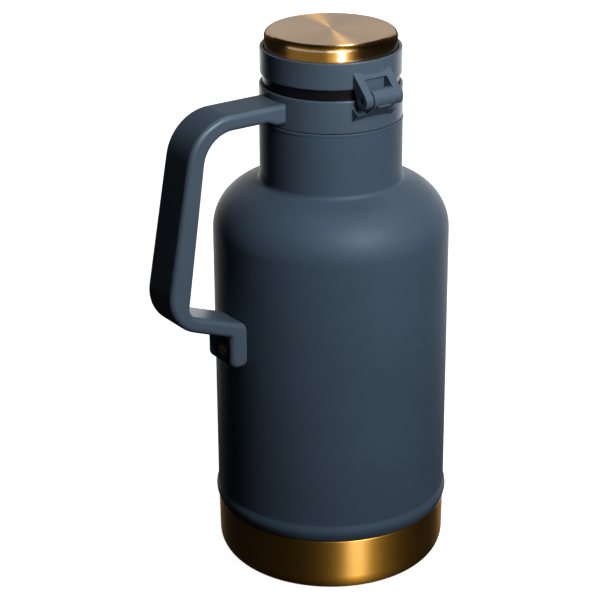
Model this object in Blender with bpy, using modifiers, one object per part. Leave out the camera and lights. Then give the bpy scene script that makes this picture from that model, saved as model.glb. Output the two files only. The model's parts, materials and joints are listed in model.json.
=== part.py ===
"""Insulated steel growler with a side handle and a hinged lid whose cap twists and lifts.

Frame: metres, +Z up, origin at the centre of the base's underside.
The handle points to -X and the lid's hinge to -Y.
"""

import math

import bmesh
import bpy
from mathutils import Matrix, Vector

MM = 0.001
GAP = 0.3 * MM  # clearance between pieces that touch
ROUND = 36  # facets round the big turned pieces
SMALL_ROUND = 24  # facets round pins, screws and bosses
UP = Vector((0, 0, 1))

# Bottle body
BODY_RADIUS = 63.5 * MM
BODY_WALL = 1.0 * MM
SHOULDER_CORNER_Z = 210.0 * MM
SHOULDER_BEND = 26.2 * MM
NECK_RADIUS = 37.9 * MM
NECK_FOOT_Z = 220.3 * MM
NECK_LIP_RADIUS = 38.2 * MM
NECK_LIP_Z = 254.6 * MM
SPIGOT_RADIUS = 34.8 * MM  # part of the neck that stands inside the collar
MOUTH_Z = 269.3 * MM
BEAD_Z = 38.0 * MM
BEAD_HALF_HEIGHT = 4.8 * MM
BEAD_DEPTH = 1.1 * MM
SKIRT_RADIUS = 61.8 * MM  # part of the shell that stands inside the base cup

# Liner
LINER_RADIUS = 57.2 * MM
LINER_WALL = 0.8 * MM
LINER_FLOOR_Z = 14.8 * MM
MOUTH_RADIUS = 31.2 * MM
GETTER_RADIUS = 8.0 * MM

# Base cup
CUP_HEIGHT = 32.8 * MM
CUP_RIM_RADIUS = 63.4 * MM
CUP_FOOT_RADIUS = 62.9 * MM
CUP_CORNER = 11.0 * MM
CUP_WALL = 1.0 * MM

# Collar and lid ring
COLLAR_RADIUS = 37.8 * MM
COLLAR_BOTTOM_Z = 255.6 * MM
COLLAR_TOP_Z = 272.7 * MM
COLLAR_SEAT_Z = 269.6 * MM
LIP_INNER_RADIUS = 36.2 * MM
RING_RADIUS = 37.3 * MM
RING_BOTTOM_Z = 278.1 * MM
RING_TOP_Z = 292.4 * MM
LEDGE_RADIUS = 32.6 * MM
LEDGE_BOTTOM_Z = 281.2 * MM
LEDGE_TOP_Z = 282.4 * MM

# Lid hinge, as distance from the bottle's axis and height
HINGE_R = 42.9 * MM
HINGE_Z = 274.1 * MM
EAR_RADIUS = 4.4 * MM
EAR_OUTSIDE = 11.6 * MM
EAR_INSIDE = 7.1 * MM
KNUCKLE_RADIUS = 4.5 * MM
KNUCKLE_HALF = 6.8 * MM
PIN_RADIUS = 1.15 * MM
PIN_HALF = 11.0 * MM
LUG_HALF = 12.3 * MM
POCKET_RADIUS = 8.3 * MM
WEB_TILT = math.radians(41)

# Cap
CAP_RADIUS = 34.85 * MM
CAP_TOP_Z = 300.8 * MM
CAP_BOTTOM_Z = 286.3 * MM
CAP_EDGE = 2.0 * MM
CAP_WALL = 0.8 * MM
CAP_TRAVEL = 2.4 * MM  # how far the cap sinks as it is screwed home
CAP_TURN = math.radians(60)
FLANGE_RADIUS = 35.8 * MM
FLANGE_TOP_Z = 280.7 * MM
FLANGE_BOTTOM_Z = MOUTH_Z + CAP_TRAVEL + 2 * GAP
PLUG_RADIUS = 27.6 * MM
PLUG_TIP_RADIUS = 25.5 * MM
PLUG_BOTTOM_Z = 252.0 * MM
PLUG_WALL = 1.8 * MM
PLUG_TAPER_Z = 262.0 * MM
FLANGE_WALL = 2.4 * MM
GROOVE_INNER = 31.3 * MM
GROOVE_OUTER = 35.1 * MM
GROOVE_DEPTH = 1.8 * MM
LUG_ARC = math.radians(36)
NECK_LUG_Z = 264.6 * MM  # underside of a neck lug at its middle
THREAD_DEPTH = 2.2 * MM
SCREW_CIRCLE = 20.0 * MM

# Handle, as distance from the bottle's axis and height
ARM_TOP_Z = 269.4 * MM
ARM_BOTTOM_Z = 260.9 * MM
HANDLE_HALF = 12.2 * MM
HANDLE_EDGE = 2.6 * MM
FOOT_FACE = 72.4 * MM
FOOT_BOTTOM_Z = 129.5 * MM
SCREW_Z = 136.8 * MM
BRACKET_FACE = 66.6 * MM
RECESS_FLOOR = 68.6 * MM
BOSS_FACE = 71.0 * MM
SADDLE_SCREW_Z = (261.3 * MM, 266.4 * MM)

SLATE = (0.052, 0.080, 0.118, 1)
SLATE_PLASTIC = (0.066, 0.095, 0.132, 1)
BLACK = (0.006, 0.006, 0.007, 1)
GOLD = (0.62, 0.40, 0.13, 1)
STEEL = (0.55, 0.55, 0.56, 1)


def clear_scene():
    for obj in list(bpy.data.objects):
        bpy.data.objects.remove(obj, do_unlink=True)


def new_collection(name):
    collection = bpy.data.collections.new(name)
    bpy.context.scene.collection.children.link(collection)
    return collection


def material(name, color, roughness, metallic):
    made = bpy.data.materials.new(name)
    made.use_nodes = True
    shader = made.node_tree.nodes["Principled BSDF"]
    shader.inputs["Base Color"].default_value = color
    shader.inputs["Roughness"].default_value = roughness
    shader.inputs["Metallic"].default_value = metallic
    return made


def finish(obj, look):
    """Gives a node its own copy of a finish."""
    own = look.copy()
    own.name = obj.name
    obj.data.materials.clear()
    obj.data.materials.append(own)
    return obj


# Outlines, as lists of (radius, height) or (x, y)


def rounded(corners, closed=False):
    """Points of a polyline whose corners (x, y, radius) are rounded with arcs."""
    points = []
    count = len(corners)
    for index, corner in enumerate(corners):
        here = Vector(corner[:2])
        radius = corner[2] if len(corner) > 2 else 0
        inside = closed or 0 < index < count - 1
        if radius == 0 or not inside:
            points.append(tuple(here))
            continue
        back = (Vector(corners[index - 1][:2]) - here).normalized()
        ahead = (Vector(corners[(index + 1) % count][:2]) - here).normalized()
        half = back.angle(ahead) / 2
        centre = here + (back + ahead).normalized() * (radius / math.sin(half))
        start = here + back * (radius / math.tan(half)) - centre
        turn = start.angle_signed(here + ahead * (radius / math.tan(half)) - centre)
        steps = max(2, round(abs(turn) / math.radians(20)))
        for step in range(steps + 1):
            points.append(tuple(centre + Matrix.Rotation(-turn * step / steps, 2) @ start))
    return points


def arc(centre, radius, start, end, steps):
    """Points on a circle from one angle to another, in degrees."""
    angles = [math.radians(start + (end - start) * step / steps) for step in range(steps + 1)]
    return [(centre[0] + radius * math.cos(a), centre[1] + radius * math.sin(a)) for a in angles]


# Solids


def turned(name, outline, home, closed=False, facets=ROUND, offset=(0, 0, 0)):
    """A solid of revolution about Z: its outline runs down the outer side."""
    count = len(outline)
    edges = [(i, i + 1) for i in range(count - 1)]
    if closed:
        edges.append((count - 1, 0))
    mesh = bpy.data.meshes.new(name)
    mesh.from_pydata([(r, 0, z) for r, z in outline], edges, [])
    obj = bpy.data.objects.new(name, mesh)
    obj.location = offset
    home.objects.link(obj)
    screw = obj.modifiers.new("Turn", "SCREW")
    screw.steps = facets
    screw.render_steps = facets
    screw.use_merge_vertices = True
    screw.merge_threshold = 0.00001
    screw.use_smooth_shade = True
    return obj


def placed(mesh, name, home, matrix):
    obj = bpy.data.objects.new(name, mesh)
    obj.matrix_world = matrix
    home.objects.link(obj)
    return obj


def facing(outward, origin=(0, 0, 0)):
    """Matrix that maps local X to a horizontal direction and local Y to world up."""
    outward = Vector(outward)
    side = outward.cross(UP)
    return Matrix.Translation(origin) @ Matrix((outward, UP, side)).transposed().to_4x4()


TO_HANDLE = facing((-1, 0, 0))
TO_HINGE = facing((0, -1, 0))


def plate(name, outline, half, home, matrix, shift=0):
    """A flat outline with thickness, made from a filled curve and kept as a welded mesh."""
    data = bpy.data.curves.new(name, "CURVE")
    data.dimensions = "2D"
    data.fill_mode = "BOTH"
    data.extrude = half
    spline = data.splines.new("POLY")
    spline.points.add(len(outline) - 1)
    spline.use_cyclic_u = True
    for point, (x, y) in zip(spline.points, outline):
        point.co = (x, y, 0, 1)
    curve = bpy.data.objects.new(name + "_curve", data)
    bpy.context.scene.collection.objects.link(curve)
    graph = bpy.context.evaluated_depsgraph_get()
    mesh = bpy.data.meshes.new_from_object(curve.evaluated_get(graph))
    bpy.data.objects.remove(curve)
    bm = bmesh.new()
    bm.from_mesh(mesh)
    bmesh.ops.remove_doubles(bm, verts=bm.verts, dist=0.000001)
    bmesh.ops.dissolve_limit(
        bm, angle_limit=math.radians(0.1), verts=bm.verts, edges=bm.edges, delimit={"NORMAL"}
    )
    bmesh.ops.recalc_face_normals(bm, faces=bm.faces)
    bm.to_mesh(mesh)
    bm.free()
    return placed(mesh, name, home, matrix @ Matrix.Translation((0, 0, shift)))


def rod(name, radius, start, end, home, facets=SMALL_ROUND):
    """A cylinder between two points."""
    start, end = Vector(start), Vector(end)
    mesh = bpy.data.meshes.new(name)
    bm = bmesh.new()
    bmesh.ops.create_cone(
        bm, cap_ends=True, segments=facets, radius1=radius, radius2=radius,
        depth=(end - start).length,
    )
    bm.to_mesh(mesh)
    bm.free()
    turn = UP.rotation_difference(end - start).to_matrix().to_4x4()
    return placed(mesh, name, home, Matrix.Translation((start + end) / 2) @ turn)


def block(name, low, high, home):
    """A box between two corners."""
    low, high = Vector(low), Vector(high)
    mesh = bpy.data.meshes.new(name)
    bm = bmesh.new()
    bmesh.ops.create_cube(bm, size=1)
    bmesh.ops.scale(bm, vec=high - low, verts=bm.verts)
    bm.to_mesh(mesh)
    bm.free()
    return placed(mesh, name, home, Matrix.Translation((low + high) / 2))


def thread_lug(name, inner, outer, bottom, azimuth, home):
    """A short piece of helical thread: a rectangle swept round and up along the thread."""
    mesh = bpy.data.meshes.new(name)
    bm = bmesh.new()
    rise = CAP_TRAVEL / CAP_TURN * LUG_ARC
    low = bottom - rise / 2
    square = [(inner, low), (outer, low), (outer, low + THREAD_DEPTH), (inner, low + THREAD_DEPTH)]
    face = bm.faces.new([bm.verts.new((r, 0, z)) for r, z in square])
    steps = 5
    start = Matrix.Rotation(azimuth - LUG_ARC / 2, 3, "Z")
    bmesh.ops.rotate(bm, cent=(0, 0, 0), matrix=start, verts=bm.verts)
    bmesh.ops.spin(
        bm, geom=[face] + list(face.edges) + list(face.verts), cent=(0, 0, 0), axis=(0, 0, 1),
        dvec=(0, 0, rise / steps), angle=LUG_ARC, steps=steps, use_duplicate=False,
    )
    bmesh.ops.recalc_face_normals(bm, faces=bm.faces)
    bm.to_mesh(mesh)
    bm.free()
    return placed(mesh, name, home, Matrix())


def boolean(obj, tool, operation):
    step = obj.modifiers.new(operation.title(), "BOOLEAN")
    step.operation = operation
    step.solver = "EXACT"
    step.object = tool
    tool.hide_render = True
    tool.display_type = "WIRE"


def cut(obj, *tools):
    for tool in tools:
        boolean(obj, tool, "DIFFERENCE")


def join(obj, *tools):
    for tool in tools:
        boolean(obj, tool, "UNION")


def soften(obj, width, segments=2):
    bevel = obj.modifiers.new("Rounded edges", "BEVEL")
    bevel.width = width
    bevel.segments = segments
    bevel.use_clamp_overlap = False
    bevel.limit_method = "ANGLE"
    bevel.angle_limit = math.radians(60)


def turned_copies(obj, angles, home):
    """Copies of an object turned about Z by each angle, sharing its mesh."""
    made = []
    for number, angle in enumerate(angles):
        turn = Matrix.Rotation(angle, 4, "Z")
        made.append(placed(obj.data, f"{obj.name}_{number}", home, turn @ obj.matrix_world))
    return made


# Bottle


def outer_shell(home):
    """Thin steel outer wall: necked in under the collar and under the base cup."""
    wall = BODY_WALL
    bead = [
        (BODY_RADIUS + BEAD_DEPTH * math.cos(q), BEAD_Z + BEAD_HALF_HEIGHT * math.sin(q))
        for q in (math.radians(a) for a in range(90, -91, -30))
    ]
    step_z = CUP_HEIGHT + 2 * GAP
    outside = rounded([
        (SPIGOT_RADIUS, MOUTH_Z - 1.3 * MM),
        (SPIGOT_RADIUS, NECK_LIP_Z + 0.6 * MM),
        (NECK_LIP_RADIUS, NECK_LIP_Z + 0.6 * MM, 0.6 * MM),
        (NECK_LIP_RADIUS, NECK_LIP_Z - 0.7 * MM),
        (NECK_RADIUS, NECK_LIP_Z - 1.1 * MM),
        (NECK_RADIUS, NECK_FOOT_Z, 3.0 * MM),
        (BODY_RADIUS, SHOULDER_CORNER_Z, SHOULDER_BEND),
        (BODY_RADIUS, BEAD_Z + BEAD_HALF_HEIGHT + 0.2 * MM),
    ])
    skirt = [(BODY_RADIUS, step_z), (SKIRT_RADIUS, step_z), (SKIRT_RADIUS, 14 * MM)]
    inside = rounded([
        (SKIRT_RADIUS - wall, 14 * MM),
        (SKIRT_RADIUS - wall, step_z + wall),
        (BODY_RADIUS - wall, step_z + 3 * wall),
        (BODY_RADIUS - wall, SHOULDER_CORNER_Z - 0.7 * wall, SHOULDER_BEND - wall),
        (NECK_RADIUS - wall, NECK_FOOT_Z - 0.7 * wall, 3.0 * MM),
        (NECK_RADIUS - wall, NECK_LIP_Z - 1.2 * MM),
        (SPIGOT_RADIUS - wall, NECK_LIP_Z - 0.6 * MM),
        (SPIGOT_RADIUS - wall, MOUTH_Z - 1.3 * MM),
    ])
    return turned("outer_shell", outside + bead[1:-1] + skirt + inside, home, closed=True)


def inner_vessel(home, cutters):
    """Steel liner: floor, wall, shoulder, neck, rolled mouth and the neck's three thread lugs."""
    wall = LINER_WALL
    shoulder_z = SHOULDER_CORNER_Z - 3.8 * MM
    neck_z = NECK_FOOT_Z - 3.6 * MM
    inside = rounded([
        (0, LINER_FLOOR_Z),
        (LINER_RADIUS, LINER_FLOOR_Z, 12 * MM),
        (LINER_RADIUS, shoulder_z - 0.6 * wall, 21 * MM),
        (MOUTH_RADIUS, neck_z - 0.6 * wall, 5 * MM),
        (MOUTH_RADIUS, MOUTH_Z, 0.4 * MM),
        (SPIGOT_RADIUS, MOUTH_Z, 0.4 * MM),
        (SPIGOT_RADIUS, MOUTH_Z - 1.0 * MM),
    ])
    outside = rounded([
        (MOUTH_RADIUS + wall, MOUTH_Z - 1.0 * MM),
        (MOUTH_RADIUS + wall, neck_z, 4.2 * MM),
        (LINER_RADIUS + wall, shoulder_z, 21.8 * MM),
        (LINER_RADIUS + wall, LINER_FLOOR_Z - wall, 12.8 * MM),
        (0, LINER_FLOOR_Z - wall),
    ])
    obj = turned("inner_vessel", inside + outside, home)
    lug = thread_lug(
        "neck_lug", PLUG_RADIUS + 1.0 * MM, MOUTH_RADIUS + wall / 2, NECK_LUG_Z, -math.pi / 2,
        cutters,
    )
    join(obj, lug, *turned_copies(lug, (math.tau / 3, -math.tau / 3), cutters))
    return obj


def base_cup(home):
    outline = rounded([
        (0, CUP_WALL),
        (CUP_FOOT_RADIUS - 0.9 * MM, CUP_WALL, CUP_CORNER - CUP_WALL),
        (CUP_RIM_RADIUS - CUP_WALL, CUP_HEIGHT),
        (CUP_RIM_RADIUS, CUP_HEIGHT, 0.3 * MM),
        (CUP_FOOT_RADIUS, 0, CUP_CORNER),
        (0, 0),
    ])
    return turned("base_cup", outline, home)


def base_plate(home):
    """Steel disc that closes the vacuum jacket, with a small hole at its centre."""
    inner = SKIRT_RADIUS - BODY_WALL - GAP - 0.9 * MM
    outer = inner + 0.9 * MM
    hole = 1.5 * MM
    outline = rounded([
        (hole, 4.5 * MM),
        (inner, 4.5 * MM, 8 * MM),
        (inner, 24 * MM),
        (outer, 24 * MM),
        (outer, 3.6 * MM, 9 * MM),
        (hole, 3.6 * MM),
    ])
    return turned("base_plate", outline, home, closed=True)


def vacuum_seal(home):
    """Plug that closes the hole the jacket was pumped out through."""
    outline = [(0, 5.5), (1.2, 5.5), (1.2, 3.3), (4.4, 3.3), (5, 2.7), (5, 2.2), (0, 2.2)]
    return turned("vacuum_seal", [(r * MM, z * MM) for r, z in outline], home, facets=SMALL_ROUND)


def getter(home):
    """Small capsule in the jacket, under the liner's floor."""
    top, bottom, edge = 13.6 * MM, 10.4 * MM, 1 * MM
    outline = [
        (0, top), (GETTER_RADIUS - edge, top), (GETTER_RADIUS, top - edge),
        (GETTER_RADIUS, bottom + edge), (GETTER_RADIUS - edge, bottom), (0, bottom),
    ]
    return turned("getter", outline, home, facets=SMALL_ROUND, offset=(22 * MM, 0, 0))


def collar(home, cutters):
    """Moulded band round the neck, with the hinge lug, its knuckle and the ears' pockets."""
    obj = turned("collar", rounded([
        (0, COLLAR_TOP_Z),
        (COLLAR_RADIUS, COLLAR_TOP_Z, 0.8 * MM),
        (COLLAR_RADIUS + 0.1 * MM, COLLAR_BOTTOM_Z, 0.3 * MM),
        (0, COLLAR_BOTTOM_Z),
    ]), home)
    deep = 33 * MM
    low = (COLLAR_RADIUS, 263.4 * MM)
    out = 8.7 * MM
    wedge = plate("lug_wedge", [
        (deep, low[1] - (low[0] - deep) * math.tan(WEB_TILT)),
        (low[0] + out, low[1] + out * math.tan(WEB_TILT)),
        (low[0] + out - 0.6 * MM, 272.2 * MM),
        (HINGE_R - 2 * MM, 272.4 * MM),
        (deep, 272.4 * MM),
    ], LUG_HALF, cutters, TO_HINGE)
    middle = KNUCKLE_HALF
    side = (LUG_HALF + 2 * MM - middle) / 2
    circle = arc((HINGE_R, HINGE_Z), POCKET_RADIUS, 0, 345, 23)
    for sign in (-1, 1):
        cut(wedge, plate(f"pocket_{sign}", circle, side, cutters, TO_HINGE, sign * (middle + side)))
    knuckle = rod(
        "knuckle", KNUCKLE_RADIUS, (-middle, -HINGE_R, HINGE_Z), (middle, -HINGE_R, HINGE_Z),
        cutters,
    )
    bore = turned("collar_bore", [
        (0, 276 * MM),
        (LIP_INNER_RADIUS, 276 * MM),
        (LIP_INNER_RADIUS, COLLAR_SEAT_Z),
        (SPIGOT_RADIUS + GAP, COLLAR_SEAT_Z),
        (SPIGOT_RADIUS + GAP, 254 * MM),
        (0, 254 * MM),
    ], cutters)
    join(obj, wedge, knuckle)
    cut(obj, bore, pin_hole("collar_pin_hole", cutters))
    for number, z in enumerate(SADDLE_SCREW_Z):
        head = rod(f"head_seat_{number}", 2.4 * MM, (-33 * MM, 0, z), (-36.9 * MM, 0, z), cutters)
        shank = rod(f"shank_hole_{number}", 1.6 * MM, (-34 * MM, 0, z), (-40 * MM, 0, z), cutters)
        cut(obj, head, shank)
    return obj


def pin_hole(name, cutters):
    radius = PIN_RADIUS + GAP
    return rod(name, radius, (-20 * MM, -HINGE_R, HINGE_Z), (20 * MM, -HINGE_R, HINGE_Z), cutters)


def hinge_pin(home):
    start, end = (-PIN_HALF, -HINGE_R, HINGE_Z), (PIN_HALF, -HINGE_R, HINGE_Z)
    return rod("hinge_pin", PIN_RADIUS, start, end, home)


# Handle


def handle(home, cutters):
    """One moulding: top arm, sloping grip, lower arm and a foot with a screw boss."""
    obj = plate("handle", rounded([
        (34 * MM, ARM_TOP_Z),
        (91.3 * MM, ARM_TOP_Z, 26 * MM),
        (111.1 * MM, 162.8 * MM, 21.5 * MM),
        (FOOT_FACE, 148.0 * MM, 1.2 * MM),
        (FOOT_FACE, FOOT_BOTTOM_Z, 4.2 * MM),
        (61.6 * MM, FOOT_BOTTOM_Z, 4.2 * MM),
        (61.6 * MM, 153.1 * MM, 5 * MM),
        (98.0 * MM, 167.1 * MM, 10.5 * MM),
        (83.3 * MM, ARM_BOTTOM_Z, 17.5 * MM),
        (34 * MM, ARM_BOTTOM_Z),
    ], closed=True), HANDLE_HALF, home, TO_HANDLE)
    soften(obj, HANDLE_EDGE)
    flare = 13.6 * MM
    saddle = plate("saddle", [
        (33 * MM, -flare), (37.6 * MM, -flare), (43 * MM, -11 * MM),
        (43 * MM, 11 * MM), (37.6 * MM, flare), (33 * MM, flare),
    ], 5.3 * MM, cutters, Matrix.Translation((0, 0, 264.2 * MM)) @ Matrix.Rotation(math.pi, 4, "Z"))
    soften(saddle, 1.2 * MM, 1)
    neck = rod("neck_clearance", COLLAR_RADIUS + 0.1 * MM + GAP, (0, 0, 240 * MM),
               (0, 0, 290 * MM), cutters, ROUND)
    body = rod("body_clearance", BODY_RADIUS + GAP, (0, 0, 110 * MM), (0, 0, 170 * MM), cutters,
               ROUND)
    join(obj, saddle)
    cut(obj, neck, body, screw_recess(cutters))
    bracket_room = block(
        "bracket_room", (-BRACKET_FACE - GAP, -6.3 * MM, 130.7 * MM), (-60 * MM, 6.3 * MM, 142.9 * MM),
        cutters,
    )
    seat = rod("screw_seat", 3.6 * MM, (-69.4 * MM, 0, SCREW_Z), (-75 * MM, 0, SCREW_Z), cutters)
    hole = rod("screw_hole", 2.1 * MM, (-60 * MM, 0, SCREW_Z), (-75 * MM, 0, SCREW_Z), cutters)
    cut(obj, bracket_room, seat, hole)
    for number, z in enumerate(SADDLE_SCREW_Z):
        tip = rod(f"tip_hole_{number}", 1.6 * MM, (-34 * MM, 0, z), (-47 * MM, 0, z), cutters)
        cut(obj, tip)
    return obj


def screw_recess(cutters):
    """Pocket in the foot's outer face, which leaves a round boss standing in it."""
    recess = block(
        "recess", (-80 * MM, -8.4 * MM, 131.2 * MM), (-RECESS_FLOOR, 8.4 * MM, 146.2 * MM), cutters
    )
    boss = rod("boss", 5.2 * MM, (-60 * MM, 0, SCREW_Z), (-BOSS_FACE, 0, SCREW_Z), cutters)
    cut(recess, boss)
    return recess


def handle_bracket(home, cutters):
    """Threaded block welded to the shell, under the handle's foot."""
    obj = block(
        "handle_bracket", (-BRACKET_FACE, -6 * MM, 131 * MM), (-60 * MM, 6 * MM, 142.6 * MM), home
    )
    body = rod("bracket_seat", BODY_RADIUS + GAP, (0, 0, 120 * MM), (0, 0, 150 * MM), cutters, 96)
    hole = rod("thread", 2.1 * MM, (-58 * MM, 0, SCREW_Z), (-75 * MM, 0, SCREW_Z), cutters)
    cut(obj, body, hole)
    return obj


def star_screw(name, seat, tip, head_radius, head_depth, shank_radius, home, cutters):
    """A screw along X with a round head, whose drive is a star-shaped recess."""
    away = 1 if tip[0] > seat[0] else -1
    head_top = seat[0] - away * head_depth
    obj = rod(name, head_radius, seat, (head_top, seat[1], seat[2]), home)
    inside = seat[0] - away * head_depth / 2
    shank = rod(name + "_shank", shank_radius, (inside, seat[1], seat[2]), tip, cutters, 16)
    join(obj, shank)
    star = []
    for number in range(12):
        reach = head_radius * (0.52 if number % 2 else 0.34)
        turn = number * math.pi / 6
        star.append((reach * math.cos(turn), reach * math.sin(turn)))
    drive = plate(name + "_drive", star, head_depth / 2, cutters,
                  facing((1, 0, 0), (0, 0, seat[2])) @ Matrix.Rotation(math.pi / 2, 4, "Y"),
                  head_top)
    cut(obj, drive)
    return obj


def handle_screw(home, cutters):
    return star_screw("handle_screw", (-69.7 * MM, 0, SCREW_Z), (-64.5 * MM, 0, SCREW_Z),
                      3.2 * MM, 1.4 * MM, 1.8 * MM, home, cutters)


def saddle_screw(name, height, home, cutters):
    """Screw driven from inside the collar into the handle's saddle."""
    return star_screw(name, (-36.6 * MM, 0, height), (-45.5 * MM, 0, height),
                      2.1 * MM, 1.2 * MM, 1.3 * MM, home, cutters)


# Lid


def hinge_ring(home, cutters):
    """Ring that holds the cap, with a sloping bracket and two ears on the hinge pin."""
    obj = turned("hinge_ring", rounded([
        (0, RING_TOP_Z),
        (RING_RADIUS, RING_TOP_Z, 0.6 * MM),
        (RING_RADIUS, RING_BOTTOM_Z + 0.8 * MM),
        (RING_RADIUS - 0.6 * MM, RING_BOTTOM_Z),
        (0, RING_BOTTOM_Z),
    ]), home)
    deep = 33 * MM
    corner = Vector((34.9 * MM, 287.0 * MM))
    axis = Vector((HINGE_R, HINGE_Z))
    reach = axis - corner
    slope = math.atan2(reach.y, reach.x) + math.asin(EAR_RADIUS / reach.length)
    ear = arc(axis, EAR_RADIUS, math.degrees(slope) + 90, -168, 14)
    bracket = plate("bracket", [
        (deep, corner.y - (corner.x - deep) * math.tan(slope)),
        *ear,
        (37.2 * MM, 276.0 * MM),
        (36.3 * MM, 278.0 * MM),
        (36.3 * MM, 278.7 * MM),
        (deep, 278.7 * MM),
    ], EAR_OUTSIDE, cutters, TO_HINGE)
    window = block("window", (-EAR_INSIDE, -60 * MM, 260 * MM), (EAR_INSIDE, -30 * MM, 283.2 * MM),
                   cutters)
    cut(bracket, window)
    room = turned("ring_bore", [
        (0, 295 * MM),
        (CAP_RADIUS + 0.4 * MM, 295 * MM),
        (CAP_RADIUS + 0.4 * MM, LEDGE_TOP_Z),
        (LEDGE_RADIUS, LEDGE_TOP_Z),
        (LEDGE_RADIUS, LEDGE_BOTTOM_Z),
        (FLANGE_RADIUS + GAP, LEDGE_BOTTOM_Z),
        (FLANGE_RADIUS + GAP, 276 * MM),
        (0, 276 * MM),
    ], cutters)
    join(obj, bracket)
    cut(obj, room, pin_hole("ring_pin_hole", cutters))
    return obj


def slip_washer(home):
    """Thin washer between the turning cap and the ring's ledge: it lifts but doesn't turn."""
    inner, outer = LEDGE_RADIUS - 0.7 * MM, CAP_RADIUS
    low, high = CAP_BOTTOM_Z - 1.1 * MM, CAP_BOTTOM_Z - GAP
    return turned("slip_washer", [(outer, high), (outer, low), (inner, low), (inner, high)], home,
                  closed=True)


def cap_shell(home):
    """Drawn metal cup that covers the cap."""
    outline = rounded([
        (0, CAP_TOP_Z),
        (CAP_RADIUS, CAP_TOP_Z, CAP_EDGE),
        (CAP_RADIUS, CAP_BOTTOM_Z),
        (CAP_RADIUS - CAP_WALL, CAP_BOTTOM_Z),
        (CAP_RADIUS - CAP_WALL, CAP_TOP_Z - CAP_WALL, CAP_EDGE - CAP_WALL),
        (0, CAP_TOP_Z - CAP_WALL),
    ])
    return turned("cap_shell", outline, home)


def cap_core(home, cutters):
    """Moulded carrier inside the metal cup: its hub passes down through the ring's ledge."""
    top = CAP_TOP_Z - CAP_WALL - GAP
    outer = CAP_RADIUS - CAP_WALL - GAP
    hub = LEDGE_RADIUS - 1.0 * MM
    foot = FLANGE_TOP_Z + GAP
    obj = turned("cap_core", rounded([
        (0, top),
        (outer, top, CAP_EDGE),
        (outer, CAP_BOTTOM_Z),
        (hub, CAP_BOTTOM_Z),
        (hub, foot),
        (hub - 3 * MM, foot),
        (hub - 3 * MM, top - 2.5 * MM),
        (0, top - 2.5 * MM),
    ]), home)
    post = rod("post", 3.2 * MM, (SCREW_CIRCLE, 0, foot), (SCREW_CIRCLE, 0, top - 1 * MM), cutters)
    hole = rod("post_hole", 1.5 * MM, (SCREW_CIRCLE, 0, foot - 1 * MM),
               (SCREW_CIRCLE, 0, foot + 8 * MM), cutters)
    thirds = (0, math.tau / 3, -math.tau / 3)
    join(obj, *turned_copies(post, thirds, cutters))
    cut(obj, *turned_copies(hole, thirds, cutters))
    bpy.data.objects.remove(post)
    bpy.data.objects.remove(hole)
    return obj


def cap_body(home, cutters):
    """Black moulding: flange, gasket groove and the hollow plug with three thread lugs."""
    inner = PLUG_RADIUS - PLUG_WALL
    inside_top = FLANGE_TOP_Z - FLANGE_WALL
    obj = turned("cap_body", [
        (0, FLANGE_TOP_Z),
        (FLANGE_RADIUS, FLANGE_TOP_Z),
        (FLANGE_RADIUS, FLANGE_BOTTOM_Z),
        (GROOVE_OUTER, FLANGE_BOTTOM_Z),
        (GROOVE_OUTER, FLANGE_BOTTOM_Z + GROOVE_DEPTH),
        (GROOVE_INNER, FLANGE_BOTTOM_Z + GROOVE_DEPTH),
        (GROOVE_INNER, FLANGE_BOTTOM_Z),
        (PLUG_RADIUS, FLANGE_BOTTOM_Z),
        (PLUG_RADIUS, PLUG_TAPER_Z),
        (PLUG_TIP_RADIUS, PLUG_BOTTOM_Z),
        (PLUG_TIP_RADIUS - PLUG_WALL, PLUG_BOTTOM_Z),
        (inner, PLUG_TAPER_Z),
        (inner, inside_top),
        (0, inside_top),
    ], home)
    below = THREAD_DEPTH + 0.35 * MM
    lug = thread_lug(
        "cap_lug", inner + PLUG_WALL / 2, PLUG_RADIUS + 2.2 * MM, NECK_LUG_Z + CAP_TRAVEL - below,
        math.pi / 2, cutters,
    )
    join(obj, lug, *turned_copies(lug, (math.tau / 3, -math.tau / 3), cutters))
    hole = rod("screw_way", 1.7 * MM, (SCREW_CIRCLE, 0, 275 * MM), (SCREW_CIRCLE, 0, 283 * MM),
               cutters)
    cut(obj, hole, *turned_copies(hole, (math.tau / 3, -math.tau / 3), cutters))
    return obj


def cap_gasket(home):
    """Silicone ring in the cap body's groove, which stands out of it by the usual gap."""
    low = FLANGE_BOTTOM_Z - GAP
    high = low + GROOVE_DEPTH
    inner, outer = GROOVE_INNER + GAP, GROOVE_OUTER - GAP
    return turned(
        "cap_gasket", [(outer, high), (outer, low), (inner, low), (inner, high)], home, closed=True
    )


def cap_screw(number, home, cutters):
    """One of three screws that clamp the cap body to the carrier, with the ledge between."""
    name = f"cap_screw_{number + 1}"
    angle = number * math.tau / 3
    x, y = SCREW_CIRCLE * math.cos(angle), SCREW_CIRCLE * math.sin(angle)
    under = FLANGE_TOP_Z - FLANGE_WALL - GAP
    head = rod(name, 3 * MM, (x, y, under - 1.8 * MM), (x, y, under), home, 16)
    shank = rod(name + "_shank", 1.2 * MM, (x, y, under - 1 * MM), (x, y, under + 9 * MM), cutters,
                12)
    join(head, shank)
    return head


def plug_insulation(home):
    """Foam that fills the hollow plug, up to the heads of the cap screws."""
    inner = PLUG_RADIUS - PLUG_WALL - GAP
    tip = PLUG_TIP_RADIUS - PLUG_WALL
    top, bottom = 275.6 * MM, 254.2 * MM
    outline = [(0, top), (inner, top), (inner, PLUG_TAPER_Z + 0.2 * MM), (tip, bottom), (0, bottom)]
    return turned("plug_insulation", outline, home)


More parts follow.
